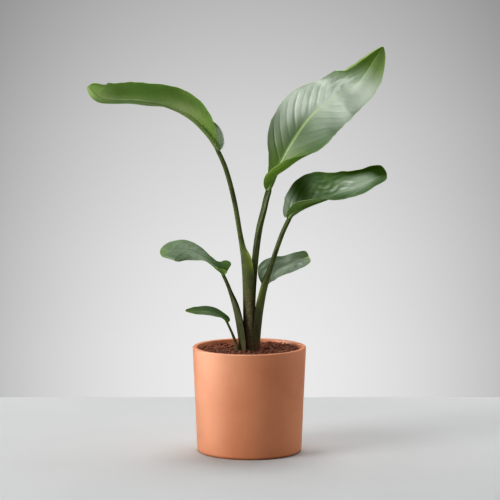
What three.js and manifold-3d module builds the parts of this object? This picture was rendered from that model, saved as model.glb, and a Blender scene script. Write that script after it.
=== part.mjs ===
// A young bird of paradise in a terracotta pot: six leaves stand in a fan on stalks that clasp one another,
// and rise from potting soil in a plain cylinder that narrows a little towards its base.
// Sizes are in millimetres, with +Z up and -Y to the front. The origin is the middle of the pot's flat base.
import * as THREE from 'three';
import { mergeVertices } from 'three/addons/utils/BufferGeometryUtils.js';
import Module from 'manifold-3d';

// ---- Driving dimensions -------------------------------------------------------------------------------

const gap = 0.3; // clearance between a piece and what carries it

const pot = {
  height: 154,
  rimRadius: 82.5,
  baseRadius: 76,
  wall: 6.5,
  floor: 8,
  rimRounding: 1.4,
  baseRounding: 5,
  insideRounding: 6,
  sides: 56,
  drainRadius: 5,
  drainCircle: 36, // radius of the circle that the drain holes lie on
  drainCount: 3,
  drainSides: 20,
};

const soil = {
  level: 147, // mean height of the surface
  grain: 0.8, // how far single crumbs stand out
  rings: 9,
  sides: 40,
  heap: { at: [38, 26], height: 3.2, spread: 30 }, // a low heap at the back right
  collar: { height: 1.2, spread: 26 }, // pressed up round the stalks
};

const rootstock = {
  top: 112, // height at which the stalks stand on it
  radius: 17,
  depth: 28,
  sides: 20,
  rootCount: 6,
  rootRadius: 3.4,
  rootReach: 50,
  rootSink: 62,
};

const blade = {
  thickness: 0.8,
  ribDepth: 1.2, // depth of the midrib below the blade, in half depths of the stalk
  baseRounding: 0.2, // share of the length over which the base rounds off
};

// How a stalk's section is cut: a back that turns through `halfTurn` degrees, and a shallow channel in front.
const section = { points: 7, stepsPerStation: 2, halfTurn: 96, front: 0.62, channel: 0.3, margin: 0.5 };

// Each leaf is a row of stations from the foot of its stalk to the tip of its blade. At every station `at` is
// the middle of the stalk or midrib and `face` is the way the upper side of the leaf looks.
// Stalk stations add `half` (half width, half depth) and `clasp`, from 0, round, to 1, a sheath that wraps
// the younger stalks. The blade follows on from the last of them. Its stations add, for the left and the
// right half seen from above with the tip up, `wide` (half width), `fold` (degrees that the half rises at the
// midrib) and `curl` (degrees that it turns further by its margin). `foot` gives these where it begins.
// `ends` says how blunt the base and the tip are (lower is blunter) and over what share of the length the tip
// narrows, `roll` how tightly each half's curl is drawn to its margin, `wave` how the margin ripples (height,
// count, phase), `lobe` how far each half reaches back beside the stalk, and `sheath` how far in front of the
// stalk the middle of its wrap lies and how many degrees it spans on each side.
const leaves = {
  arching: {
    grid: { steps: 26, fractions: [0.25, 0.5, 0.78, 1] },
    ends: [0.6, 0.34, 0.22],
    roll: [2, 2],
    wave: [1.2, 3.2, 0.6],
    lobe: [2, 6],
    sheath: { reach: 5.4, span: 158 },
    stalk: [
      { at: [-4, 0, 112], face: [1, 0, 0], half: [7, 4], clasp: 1 },
      { at: [-4.6, 0, 152], face: [1, 0, 0], half: [7, 4], clasp: 1 },
      { at: [-5, 0, 190], face: [1, 0, 0], half: [6.5, 4], clasp: 1 },
      { at: [-5.4, 0, 225], face: [1, 0, 0], half: [6, 4], clasp: 0.95 },
      { at: [-6.4, -1, 258], face: [1, 0, 0], half: [5.2, 4], clasp: 0.94 },
      { at: [-8, -1.5, 281], face: [1, 0, 0], half: [4.7, 4], clasp: 0.78 },
      { at: [-10.2, -2.4, 300], face: [1, 0.1, 0.1], half: [4.2, 4], clasp: 0.2 },
      { at: [-14, -4, 325], face: [1, 0.2, 0.2], half: [4.1, 3.9], clasp: 0 },
      { at: [-21, -7, 365], face: [1, 0.3, 0.3], half: [3.9, 3.7], clasp: 0 },
      { at: [-31, -11, 405], face: [0.9, 0.4, 0.35], half: [3.6, 3.5], clasp: 0 },
      { at: [-44, -16, 441], face: [0.78, 0.5, 0.4], half: [3.3, 3.2], clasp: 0 },
    ],
    foot: { wide: [4, 28], fold: [58, 84], curl: [-20, 45] },
    blade: [
      { at: [-63, -21, 469], face: [0.6, 0.56, 0.6], wide: [19, 28], fold: [42, 74], curl: [-25, 0] },
      { at: [-90, -27, 493], face: [0.4, 0.6, 0.75], wide: [33, 34], fold: [33, 40], curl: [-20, -4] },
      { at: [-123, -34, 508], face: [0.1, 0.6, 0.8], wide: [35, 35], fold: [27, 29], curl: [-16, -2] },
      { at: [-158, -41, 514], face: [0, 0.6, 0.8], wide: [33, 34], fold: [26, 24], curl: [-14, -2] },
      { at: [-191, -48, 516], face: [0, 0.5, 0.85], wide: [31, 31], fold: [30, 16], curl: [-18, 0] },
      { at: [-214, -52, 521], face: [0.1, 0.4, 0.9], wide: [30, 26], fold: [38, 4], curl: [-26, 0] },
      { at: [-228, -54.5, 536], face: [0.3, 0.3, 0.9], wide: [24, 20], fold: [42, 0], curl: [-28, 0] },
    ],
  },
  upright: {
    grid: { steps: 28, fractions: [0.22, 0.45, 0.68, 0.86, 1] },
    ends: [0.6, 1, 0.17],
    roll: [4, 2],
    wave: [1.2, 3.4, 2.1],
    lobe: [3, 3],
    sheath: { reach: 6, span: 60 },
    stalk: [
      { at: [3, 0, 112], face: [-1, 0, 0], half: [5.6, 5.6], clasp: 0 },
      { at: [3.2, 0, 152], face: [-1, 0, 0], half: [5.6, 5.6], clasp: 0 },
      { at: [3.4, 0, 190], face: [-1, 0, 0], half: [5.4, 5.5], clasp: 0 },
      { at: [3.9, 1, 225], face: [-1, 0, 0], half: [5.2, 5.3], clasp: 0 },
      { at: [6, 3, 258], face: [-1, -0.1, 0], half: [5, 5.2], clasp: 0 },
      { at: [9, 5, 290], face: [-1, -0.3, 0.1], half: [4.8, 5.2], clasp: 0 },
      { at: [14.4, 9, 325], face: [-0.9, -0.5, 0.15], half: [4.5, 4.7], clasp: 0 },
      { at: [22, 13.5, 355], face: [-0.7, -0.7, 0.2], half: [4.3, 4.1], clasp: 0 },
      { at: [27.5, 18, 380], face: [-0.5, -0.8, 0.3], half: [4.2, 3.9], clasp: 0 },
    ],
    foot: { wide: [8, 22], fold: [70, 100], curl: [20, 20] },
    blade: [
      { at: [40, 26, 410], face: [-0.35, -0.88, 0.3], wide: [14, 41], fold: [38, 25], curl: [0, 150] },
      { at: [62, 38, 449], face: [-0.25, -0.92, 0.35], wide: [40, 53], fold: [20, 4], curl: [-6, 54] },
      { at: [91, 52, 487], face: [-0.2, -0.92, 0.4], wide: [48, 50], fold: [7, 9], curl: [-6, -6] },
      { at: [126, 65, 513], face: [-0.15, -0.9, 0.42], wide: [37, 44], fold: [4, 6], curl: [10, -8] },
      { at: [160, 74, 534], face: [-0.05, -0.92, 0.36], wide: [37, 33], fold: [4, 6], curl: [170, 0] },
      { at: [196, 74, 586], face: [0.1, -1, 0], wide: [32, 32], fold: [6, 6], curl: [200, 6] },
    ],
  },
  cupped: {
    grid: { steps: 26, fractions: [0.25, 0.5, 0.72, 0.88, 1] },
    ends: [0.5, 0.3, 0.22],
    roll: [2, 2],
    wave: [1.1, 2.6, 0.4],
    lobe: [8, 3],
    sheath: { reach: 11.2, span: 75 },
    stalk: [
      { at: [10, -1, 112], face: [-1, 0, 0], half: [5, 4.2], clasp: 1 },
      { at: [10.9, -1, 152], face: [-1, 0, 0], half: [5, 4.4], clasp: 1 },
      { at: [13.1, -0.5, 184], face: [-1, 0, 0], half: [5, 4.6], clasp: 1 },
      { at: [16.6, 1, 212], face: [-1, 0, 0], half: [4.9, 4.6], clasp: 1 },
      { at: [21.8, 3, 240], face: [-1, 0, 0], half: [4.6, 4.6], clasp: 0.6 },
      { at: [31, 6, 270], face: [-1, -0.2, 0.2], half: [4.1, 3.9], clasp: 0.05 },
      { at: [43, 11, 305], face: [-0.9, -0.35, 0.35], half: [3.7, 3.5], clasp: 0 },
      { at: [57, 18, 339], face: [-0.75, -0.5, 0.4], half: [3.4, 3.2], clasp: 0 },
    ],
    foot: { wide: [16, 12], fold: [40, 75], curl: [10, 20] },
    blade: [
      { at: [68, 22, 349], face: [-0.5, -0.6, 0.65], wide: [27, 20], fold: [34, 72], curl: [0, 10] },
      { at: [86, 25, 358], face: [-0.3, -0.68, 0.68], wide: [42, 26], fold: [30, 66], curl: [0, 0] },
      { at: [108, 26, 366], face: [-0.2, -0.75, 0.65], wide: [43, 24], fold: [30, 58], curl: [-4, -10] },
      { at: [134, 24, 376], face: [-0.1, -0.78, 0.6], wide: [33, 17], fold: [28, 30], curl: [30, -10] },
      { at: [160, 20, 387], face: [-0.1, -0.8, 0.6], wide: [27, 19], fold: [30, 14], curl: [60, -6] },
      { at: [182, 15, 398], face: [-0.1, -0.8, 0.6], wide: [25, 17], fold: [30, 12], curl: [74, 0] },
      { at: [199, 11, 405], face: [-0.2, -0.75, 0.6], wide: [26, 20], fold: [34, 12], curl: [74, 0] },
    ],
  },
  nodding: {
    grid: { steps: 20, fractions: [0.35, 0.7, 1] },
    ends: [0.12, 0.4, 0.22],
    roll: [2, 2],
    wave: [1.2, 2.4, 1.2],
    lobe: [-5, -13],
    sheath: { reach: 10.5, span: 75 },
    stalk: [
      { at: [-10.3, -2, 112], face: [1, 0, 0], half: [4.6, 3.4], clasp: 1 },
      { at: [-11.4, -2, 152], face: [1, 0, 0], half: [4.6, 3.6], clasp: 1 },
      { at: [-14.3, -3, 180], face: [1, 0, 0], half: [4.5, 3.9], clasp: 1 },
      { at: [-19.3, -5, 207], face: [1, 0, 0.1], half: [4, 3.7], clasp: 0.7 },
      { at: [-27, -9, 234], face: [0.9, -0.2, 0.3], half: [3.1, 3], clasp: 0.05 },
      { at: [-37, -15, 261], face: [0.5, -0.4, 0.75], half: [2.5, 2.4], clasp: 0 },
    ],
    foot: { wide: [13, 22], fold: [60, 76], curl: [0, 0] },
    blade: [
      { at: [-46, -19, 271], face: [0.42, -0.5, 0.74], wide: [9.5, 9.5], fold: [45, 50], curl: [0, 0] },
      { at: [-59, -24, 282.5], face: [0.3, -0.6, 0.7], wide: [6, 7.5], fold: [16, 24], curl: [0, 0] },
      { at: [-74, -30, 292.5], face: [0.1, -0.65, 0.7], wide: [11.5, 15], fold: [0, 14], curl: [-10, -10] },
      { at: [-92, -35, 298.5], face: [0, -0.65, 0.75], wide: [16.5, 18], fold: [-6, 12], curl: [-20, -10] },
      { at: [-110, -40, 298.5], face: [-0.1, -0.65, 0.7], wide: [19, 18], fold: [-8, 10], curl: [-20, -10] },
      { at: [-127, -44, 293.5], face: [-0.3, -0.6, 0.6], wide: [10, 14], fold: [-8, 8], curl: [-20, -10] },
    ],
  },
  rear: {
    grid: { steps: 18, fractions: [0.35, 0.7, 1] },
    ends: [0.5, 0.2, 0.22],
    roll: [2, 2],
    wave: [0.7, 2.2, 2.8],
    lobe: [1, 2],
    sheath: { reach: 9, span: 60 },
    stalk: [
      { at: [3, 10.6, 112], face: [-0.2, -1, 0], half: [4.2, 3], clasp: 1 },
      { at: [4, 11, 152], face: [-0.2, -1, 0], half: [4, 3], clasp: 1 },
      { at: [8, 12.6, 182], face: [-0.3, -1, 0], half: [3.6, 2.9], clasp: 0.5 },
      { at: [14, 15.5, 212], face: [-0.3, -1, 0.1], half: [3, 2.7], clasp: 0.05 },
      { at: [23, 20, 241], face: [-0.3, -0.95, 0.3], half: [2.4, 2.3], clasp: 0 },
    ],
    foot: { wide: [15, 12], fold: [40, 44], curl: [0, 0] },
    blade: [
      { at: [31, 24, 254], face: [-0.3, -0.9, 0.4], wide: [23, 14], fold: [24, 30], curl: [0, 0] },
      { at: [43, 30, 263], face: [-0.15, -0.9, 0.45], wide: [21, 14.5], fold: [18, 20], curl: [-6, -6] },
      { at: [57, 35, 269], face: [-0.1, -0.9, 0.45], wide: [15.5, 14.5], fold: [14, 18], curl: [-6, -6] },
      { at: [72, 39, 275], face: [0, -0.9, 0.4], wide: [13.5, 14.5], fold: [14, 16], curl: [0, 0] },
      { at: [87, 42, 281], face: [0.1, -0.9, 0.4], wide: [12, 14], fold: [16, 16], curl: [10, 10] },
    ],
  },
  lowest: {
    grid: { steps: 14, fractions: [0.5, 1] },
    ends: [0.5, 0.85, 0.22],
    roll: [2, 2],
    wave: [0.4, 2, 0.5],
    lobe: [2, 4],
    sheath: { reach: 9, span: 35 },
    stalk: [
      { at: [-16, -9, 112], face: [0.8, 0.6, 0], half: [2.7, 2.4], clasp: 0.6 },
      { at: [-18, -9.4, 152], face: [0.8, 0.5, 0], half: [2.7, 2.5], clasp: 0.5 },
      { at: [-22, -12, 168], face: [0.8, 0.2, 0.2], half: [2.4, 2.3], clasp: 0 },
      { at: [-31.5, -16.5, 192], face: [0.7, -0.2, 0.6], half: [1.8, 1.7], clasp: 0 },
    ],
    foot: { wide: [5, 7], fold: [60, 66], curl: [0, 0] },
    blade: [
      { at: [-38.5, -20, 200], face: [0.4, -0.5, 0.75], wide: [6, 6], fold: [30, 40], curl: [0, 0] },
      { at: [-49, -23, 205.5], face: [0.1, -0.6, 0.75], wide: [7, 8], fold: [14, 20], curl: [0, 0] },
      { at: [-62, -26, 209], face: [0, -0.65, 0.75], wide: [8, 9], fold: [8, 12], curl: [0, 0] },
      { at: [-77, -30, 210], face: [0, -0.65, 0.75], wide: [7, 8], fold: [8, 12], curl: [0, 0] },
      { at: [-92, -34, 211], face: [0.1, -0.6, 0.75], wide: [6, 5], fold: [10, 12], curl: [0, 0] },
    ],
  },
};

// Innermost first: each stalk is cut clear of those before it.
const clasping = ['upright', 'arching', 'cupped', 'nodding', 'rear', 'lowest'];

const colours = {
  terracotta: 0xc98560,
  soil: 0x4a2f22,
  rootstock: 0x8a6a4a,
  stalk: 0x46552f,
  blade: 0x4f7d3a,
};

// ---- Curves through the stations ----------------------------------------------------------------------

// Catmull-Rom blend of a list of numbers or of equally long arrays, at a place counted in list entries.
function through(list, place) {
  const last = list.length - 1;
  const i = Math.min(last - 1, Math.max(0, Math.floor(place)));
  const t = place - i;
  const pick = (k) => list[Math.min(last, Math.max(0, k))];
  const blend = (a, b, c, d) =>
    b + 0.5 * t * (c - a + t * (2 * a - 5 * b + 4 * c - d + t * (3 * (b - c) + d - a)));
  const [a, b, c, d] = [pick(i - 1), pick(i), pick(i + 1), pick(i + 2)];
  return Array.isArray(b) ? b.map((_, k) => blend(a[k], b[k], c[k], d[k])) : blend(a, b, c, d);
}

const vector = (xyz) => new THREE.Vector3(...xyz);
const radians = THREE.MathUtils.degToRad;

// The leaf's own directions at a place: along it, across it to the right, and up out of its upper side.
// Places count stations from the foot of the stalk through to the tip of the blade.
function frameAt(leaf, place) {
  const line = [...leaf.stalk, ...leaf.blade];
  const spots = line.map((s) => s.at);
  const step = 0.02;
  const ahead = vector(through(spots, Math.min(line.length - 1, place + step)));
  const along = ahead.sub(vector(through(spots, Math.max(0, place - step)))).normalize();
  const up = vector(through(line.map((s) => s.face), place));
  up.addScaledVector(along, -up.dot(along)).normalize();
  const across = new THREE.Vector3().crossVectors(along, up);
  return { origin: vector(through(spots, place)), along, across, up };
}

// ---- Stalks and blades --------------------------------------------------------------------------------

// A closed strip: every section has an upper and a lower row of as many points, from left to right.
function stripGeometry(sections) {
  const n = sections[0].upper.length;
  const last = sections.length - 1;
  const upper = (i, j) => i * 2 * n + j;
  const lower = (i, j) => upper(i, j) + n;
  const faces = [];
  const quad = (a, b, c, d) => faces.push(a, b, c, a, c, d);
  for (let i = 0; i < last; i += 1) {
    for (let j = 0; j < n - 1; j += 1) {
      quad(upper(i, j), upper(i, j + 1), upper(i + 1, j + 1), upper(i + 1, j));
      // Split by the same diagonal as the face above it, so that the two never cross.
      quad(lower(i + 1, j + 1), lower(i, j + 1), lower(i, j), lower(i + 1, j));
    }
    quad(lower(i, 0), upper(i, 0), upper(i + 1, 0), lower(i + 1, 0));
    quad(upper(i, n - 1), lower(i, n - 1), lower(i + 1, n - 1), upper(i + 1, n - 1));
  }
  for (let j = 0; j < n - 1; j += 1) {
    quad(upper(0, j), lower(0, j), lower(0, j + 1), upper(0, j + 1));
    quad(upper(last, j + 1), lower(last, j + 1), lower(last, j), upper(last, j));
  }
  const flat = sections.flatMap((s) => [...s.upper, ...s.lower].flatMap((p) => p.toArray()));
  const geometry = new THREE.BufferGeometry();
  geometry.setAttribute('position', new THREE.Float32BufferAttribute(flat, 3));
  geometry.setIndex(faces);
  return geometry;
}

// The outline of a stalk across its length, as an upper and a lower row of [across, up] pairs. It blends from
// a rounded stem with a shallow channel to a sheath about a middle that lies `reach` in front of it.
function stalkOutline([halfWidth, halfDepth], clasp, { reach, span }, grow) {
  const rows = { upper: [], lower: [] };
  const [w, d] = [halfWidth + grow, halfDepth + grow];
  const outside = reach + d;
  const mix = (p, q) => p.map((v, k) => v + (q[k] - v) * clasp);
  for (let j = 0; j < section.points; j += 1) {
    const u = (2 * j) / (section.points - 1) - 1;
    const turn = radians(section.halfTurn) * u;
    const wrap = (radians(span) + grow / reach) * u;
    const swell = Math.cos((Math.PI / 2) * u) ** 2;
    const inside = outside - 2 * grow - section.margin - (2 * halfDepth - section.margin) * swell;
    const round = [w * Math.sin(turn), -d * Math.cos(turn)];
    const channel = [0.94 * w * Math.sin(turn), d * (section.front - section.channel * Math.cos(turn) ** 2)];
    const back = [outside * Math.sin(wrap), reach - outside * Math.cos(wrap)];
    const front = [inside * Math.sin(wrap), reach - inside * Math.cos(wrap)];
    rows.lower.push(mix(round, back));
    rows.upper.push(mix(channel, front));
  }
  return rows;
}

// A stalk, or with `grow` the room that its neighbours leave it, shortened by `trim` below the blade.
function stalkGeometry(leaf, { grow = 0, trim = 0 }) {
  const last = leaf.stalk.length - 1;
  const steps = last * section.stepsPerStation;
  const sections = [];
  for (let i = 0; i <= steps; i += 1) {
    const place = i / section.stepsPerStation;
    const { origin, along, across, up } = frameAt(leaf, place);
    if (i === steps) origin.addScaledVector(along, -trim);
    const half = through(leaf.stalk.map((s) => s.half), place);
    const clasp = THREE.MathUtils.clamp(through(leaf.stalk.map((s) => s.clasp), place), 0, 1);
    const rows = stalkOutline(half, clasp, leaf.sheath, grow);
    const lay = ([x, y]) => {
      const point = origin.clone().addScaledVector(across, x).addScaledVector(up, y);
      if (i === 0) point.z = rootstock.top + gap - grow; // cut level where it stands on the rootstock
      return point;
    };
    sections.push({ upper: rows.upper.map(lay), lower: rows.lower.map(lay) });
  }
  return stripGeometry(sections);
}

// Share of the full width at `t`: 1 over most of the blade, less where the base and the tip round off.
function outline(t, [basePower, tipPower, tipShare]) {
  const fromBase = Math.sin((Math.PI / 2) * Math.min(1, t / blade.baseRounding)) ** basePower;
  return fromBase * Math.sin((Math.PI / 2) * Math.min(1, (1 - t) / tipShare)) ** tipPower;
}

// Half of a blade's section at `t`, from 0 at the base to 1 at the tip, as pairs of points above and below.
function halfSection(leaf, side, t, frame) {
  const k = side < 0 ? 0 : 1;
  const at = (key) => through([leaf.foot, ...leaf.blade].map((s) => s[key][k]), t * leaf.blade.length);
  const [wide, fold, curl] = [at('wide'), radians(at('fold')), radians(at('curl'))];
  const [ribHalf, ribDeep] = leaf.stalk[leaf.stalk.length - 1].half;
  const [height, waves, phase] = leaf.wave;
  const taper = (1 - t) ** 0.8;
  const rib = 0.5 + (ribHalf - 0.5) * taper;
  const halfWidth = rib + 0.6 + (wide - ribHalf) * outline(t, leaf.ends);
  const backset = leaf.lobe[k] * Math.max(0, 1 - t / 0.3) ** 2;
  const turnAt = (out) => fold + curl * out ** leaf.roll[k];
  const outward = [0, rib / 2, rib, ...leaf.grid.fractions.map((f) => rib + (halfWidth - rib) * f)];
  return outward.map((distance) => {
    const out = distance / halfWidth;
    const chords = 6;
    let [x, y] = [0, 0];
    for (let i = 0; i < chords; i += 1) {
      const turn = turnAt((out * (i + 0.5)) / chords);
      x += (distance / chords) * Math.cos(turn);
      y += (distance / chords) * Math.sin(turn);
    }
    const normal = frame.up.clone().multiplyScalar(Math.cos(turnAt(out)));
    normal.addScaledVector(frame.across, -side * Math.sin(turnAt(out)));
    const ripple = Math.sin(Math.PI * t) * Math.sin(2 * Math.PI * waves * t + phase * (2 + side));
    const above = frame.origin.clone();
    above.addScaledVector(frame.across, side * x).addScaledVector(frame.up, y);
    above.addScaledVector(normal, height * out ** 2 * ripple);
    above.addScaledVector(frame.along, (-backset * Math.max(0, distance - rib)) / wide);
    const round = Math.sqrt(Math.max(0, 1 - (distance / rib) ** 2));
    const below = above.clone().addScaledVector(distance ? normal : frame.up, -blade.thickness);
    below.addScaledVector(frame.up, -ribDeep * blade.ribDepth * taper * round);
    return { above, below };
  });
}

function bladeGeometry(leaf) {
  const sections = [];
  for (let i = 0; i <= leaf.grid.steps; i += 1) {
    const u = i / leaf.grid.steps;
    const t = u - 0.08 * Math.sin(2 * Math.PI * u); // closer together at the base and the tip
    const frame = frameAt(leaf, leaf.stalk.length - 1 + t * leaf.blade.length);
    const left = halfSection(leaf, -1, t, frame).reverse();
    const row = [...left, ...halfSection(leaf, 1, t, frame).slice(1)];
    sections.push({ upper: row.map((p) => p.above), lower: row.map((p) => p.below) });
  }
  return stripGeometry(sections);
}

// ---- Joining and cutting ------------------------------------------------------------------------------

const wasm = await Module();
wasm.setup();

function solidOf(geometry) {
  const plain = geometry.clone();
  plain.deleteAttribute('normal');
  plain.deleteAttribute('uv');
  const merged = mergeVertices(plain, 1e-4);
  return new wasm.Manifold(
    new wasm.Mesh({
      numProp: 3,
      vertProperties: merged.attributes.position.array,
      triVerts: new Uint32Array(merged.index.array),
    }),
  );
}

function geometryOf(solid) {
  const { vertProperties, triVerts } = solid.getMesh();
  const geometry = new THREE.BufferGeometry();
  geometry.setAttribute('position', new THREE.BufferAttribute(vertProperties, 3));
  geometry.setIndex(new THREE.BufferAttribute(triVerts, 1));
  return geometry;
}

// A closed solid turned about the pot's axis from a profile that runs from the bottom round to the top.
const turned = (profile, sides) => solidOf(new THREE.LatheGeometry(profile, sides).rotateX(Math.PI / 2));

// ---- Pot, soil and rootstock --------------------------------------------------------------------------

const outerRadiusAt = (z) => pot.baseRadius + ((pot.rimRadius - pot.baseRadius) * z) / pot.height;
const innerRadiusAt = (z) => outerRadiusAt(z) - pot.wall;

function arcPoints(x, z, radius, from, to, steps) {
  return Array.from({ length: steps + 1 }, (_, i) => {
    const a = radians(from + ((to - from) * i) / steps);
    return new THREE.Vector2(x + radius * Math.cos(a), z + radius * Math.sin(a));
  });
}

function potSolid() {
  const { height, floor, rimRounding: r, baseRounding: b, insideRounding: f } = pot;
  const profile = [
    new THREE.Vector2(0, 0),
    ...arcPoints(outerRadiusAt(b) - b, b, b, -90, 0, 3),
    ...arcPoints(outerRadiusAt(height - r) - r, height - r, r, 0, 90, 2),
    ...arcPoints(innerRadiusAt(height - r) + r, height - r, r, 90, 180, 2),
    ...arcPoints(innerRadiusAt(floor + f) - f, floor + f, f, 0, -90, 2),
    new THREE.Vector2(0, floor),
  ];
  let body = turned(profile, pot.sides);
  for (let i = 0; i < pot.drainCount; i += 1) {
    const turn = (2 * Math.PI * (i + 0.25)) / pot.drainCount;
    const drill = new THREE.CylinderGeometry(pot.drainRadius, pot.drainRadius, floor * 3, pot.drainSides);
    drill.rotateX(Math.PI / 2);
    drill.translate(pot.drainCircle * Math.cos(turn), pot.drainCircle * Math.sin(turn), 0);
    body = body.subtract(solidOf(drill));
  }
  return body;
}

// A repeatable random draw between -1 and 1.
let seed = 20260;
function draw() {
  seed = (seed * 16807) % 2147483647;
  return (2 * seed) / 2147483647 - 1;
}

// Height of the potting soil: gently uneven, heaped at the back right and pressed up round the stalks.
function soilHeight(x, y) {
  const broad = 0.9 * Math.sin(x / 11 + 0.6) * Math.cos(y / 13);
  const fine = 0.6 * Math.sin(x / 5.3) * Math.sin(y / 6.1 + 1);
  const mound = ({ at = [0, 0], height, spread }) =>
    height * Math.exp(-((x - at[0]) ** 2 + (y - at[1]) ** 2) / spread ** 2);
  return soil.level + broad + fine + mound(soil.heap) + mound(soil.collar);
}

function soilGeometry() {
  const edge = innerRadiusAt(soil.level) - gap;
  const bottom = pot.floor + gap;
  const rows = [bottom, bottom + pot.insideRounding, pot.height / 2].map((z, i) => ({
    r: innerRadiusAt(z) - gap - (i ? 0 : pot.insideRounding),
    height: () => z,
  }));
  for (let i = 0; i < soil.rings; i += 1) {
    const r = edge * (1 - i / soil.rings) ** 0.85;
    rows.push({ r, height: (x, y) => soilHeight(x, y) + (i ? soil.grain * draw() : 0) });
  }
  const points = [0, 0, bottom];
  rows.forEach(({ r, height }) => {
    for (let j = 0; j < soil.sides; j += 1) {
      const a = (2 * Math.PI * j) / soil.sides;
      const [x, y] = [r * Math.cos(a), r * Math.sin(a)];
      points.push(x, y, height(x, y));
    }
  });
  points.push(0, 0, soilHeight(0, 0));
  const at = (i, j) => 1 + i * soil.sides + (j % soil.sides);
  const [outermost, top] = [rows.length - 1, points.length / 3 - 1];
  const faces = [];
  for (let j = 0; j < soil.sides; j += 1) {
    faces.push(0, at(0, j + 1), at(0, j));
    for (let i = 0; i < outermost; i += 1) {
      faces.push(at(i, j), at(i, j + 1), at(i + 1, j + 1));
      faces.push(at(i, j), at(i + 1, j + 1), at(i + 1, j));
    }
    faces.push(top, at(outermost, j), at(outermost, j + 1));
  }
  const geometry = new THREE.BufferGeometry();
  geometry.setAttribute('position', new THREE.Float32BufferAttribute(points, 3));
  geometry.setIndex(faces);
  return geometry;
}

// One thick root: it leaves the rootstock level, turns down and tapers.
function rootGeometry(turn, reach, grow) {
  const { top, radius, depth, rootRadius, rootSink } = rootstock;
  const side = new THREE.Vector3(-Math.sin(turn), Math.cos(turn), 0);
  const lift = new THREE.Vector3(Math.cos(turn), Math.sin(turn), 1.2).normalize();
  const sections = [0, 0.2, 0.45, 0.72, 1].map((s) => {
    const away = 0.4 * radius + reach * (s - 0.25 * s ** 2);
    const [x, y] = [away * Math.cos(turn + 0.3 * s), away * Math.sin(turn + 0.3 * s)];
    const centre = new THREE.Vector3(x, y, top - 0.55 * depth - rootSink * s ** 1.6);
    const size = rootRadius * (1 - 0.7 * s) + grow;
    const row = (sign) =>
      [0, 60, 120, 180].map((degrees) => {
        const point = centre.clone().addScaledVector(side, size * Math.cos(radians(degrees)));
        return point.addScaledVector(lift, sign * size * (Math.sin(radians(degrees)) + 0.08));
      });
    return { upper: row(1), lower: row(-1) };
  });
  return stripGeometry(sections);
}

// The short underground stem that the stalks stand on, with thick roots that spread and sink.
function rootstockSolid(grow) {
  const { top, radius, depth, sides, rootCount, rootReach } = rootstock;
  const r = radius + grow;
  const profile = [
    [0, top - depth - grow],
    [0.55 * r, top - 0.9 * depth - grow],
    [0.92 * r, top - 0.6 * depth],
    [r, top - 0.25 * depth],
    [r, top + grow],
    [0, top + grow],
  ].map(([x, z]) => new THREE.Vector2(x, z));
  let body = turned(profile, sides);
  for (let i = 0; i < rootCount; i += 1) {
    const reach = rootReach * (1 - 0.2 * (i % 2));
    body = body.add(solidOf(rootGeometry((2 * Math.PI * (i + 0.3)) / rootCount, reach, grow)));
  }
  return body;
}

// ---- Assembly -----------------------------------------------------------------------------------------

const group = new THREE.Group();

function place(name, geometry, color, roughness) {
  const mesh = new THREE.Mesh(geometry, new THREE.MeshStandardMaterial({ color, roughness, metalness: 0 }));
  mesh.name = name;
  group.add(mesh);
}

let bed = solidOf(soilGeometry()).subtract(rootstockSolid(gap));
const stood = [];
clasping.forEach((name) => {
  const leaf = leaves[name];
  const full = solidOf(stalkGeometry(leaf, { trim: gap }));
  const room = solidOf(stalkGeometry(leaf, { grow: gap }));
  const stalk = stood.reduce((rest, inner) => rest.subtract(inner), full);
  place(`${name}_stalk`, geometryOf(stalk), colours.stalk, 0.55);
  place(`${name}_blade`, bladeGeometry(leaf), colours.blade, 0.4);
  stood.push(room);
  bed = bed.subtract(room);
});

// The crumbs shut in between the stalks are left out of the soil.
const loose = bed.decompose().sort((a, b) => b.volume() - a.volume());
place('soil', geometryOf(loose[0]), colours.soil, 0.95);
place('rootstock', geometryOf(rootstockSolid(0)), colours.rootstock, 0.8);
place('pot', geometryOf(potSolid()), colours.terracotta, 0.85);

export default group;
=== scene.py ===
import math
import random

import bpy
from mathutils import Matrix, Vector, noise


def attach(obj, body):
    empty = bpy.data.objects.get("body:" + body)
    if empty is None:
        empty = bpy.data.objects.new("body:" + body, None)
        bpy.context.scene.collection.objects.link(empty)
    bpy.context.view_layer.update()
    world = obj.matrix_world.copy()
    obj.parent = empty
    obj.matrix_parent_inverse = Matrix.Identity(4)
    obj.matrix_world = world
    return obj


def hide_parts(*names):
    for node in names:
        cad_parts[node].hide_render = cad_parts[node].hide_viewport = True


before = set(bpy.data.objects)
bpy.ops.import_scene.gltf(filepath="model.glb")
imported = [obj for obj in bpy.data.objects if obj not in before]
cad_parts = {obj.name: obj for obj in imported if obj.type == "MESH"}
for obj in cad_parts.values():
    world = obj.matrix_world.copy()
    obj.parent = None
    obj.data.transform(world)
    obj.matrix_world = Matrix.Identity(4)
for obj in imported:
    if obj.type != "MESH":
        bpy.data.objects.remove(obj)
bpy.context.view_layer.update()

mm = 0.001
random.seed(11)
print("frame loaded")


# Small helpers for materials: a node with its inputs set or wired, and a colour from its display values
def addNode(tree, kind, inputs=None, **settings):
    made = tree.nodes.new("ShaderNode" + kind)
    for key, value in settings.items():
        setattr(made, key, value)
    for key, value in (inputs or {}).items():
        if isinstance(value, bpy.types.NodeSocket):
            tree.links.new(value, made.inputs[key])
        else:
            made.inputs[key].default_value = value
    return made


def tint(red, green, blue):
    return tuple((c / 255 / 12.92 if c < 11 else ((c / 255 + 0.055) / 1.055) ** 2.4)
                 for c in (red, green, blue)) + (1,)


def emptyMaterial(name):
    material = bpy.data.materials.new(name)
    material.use_nodes = True
    material.node_tree.nodes.clear()
    return material, material.node_tree


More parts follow.
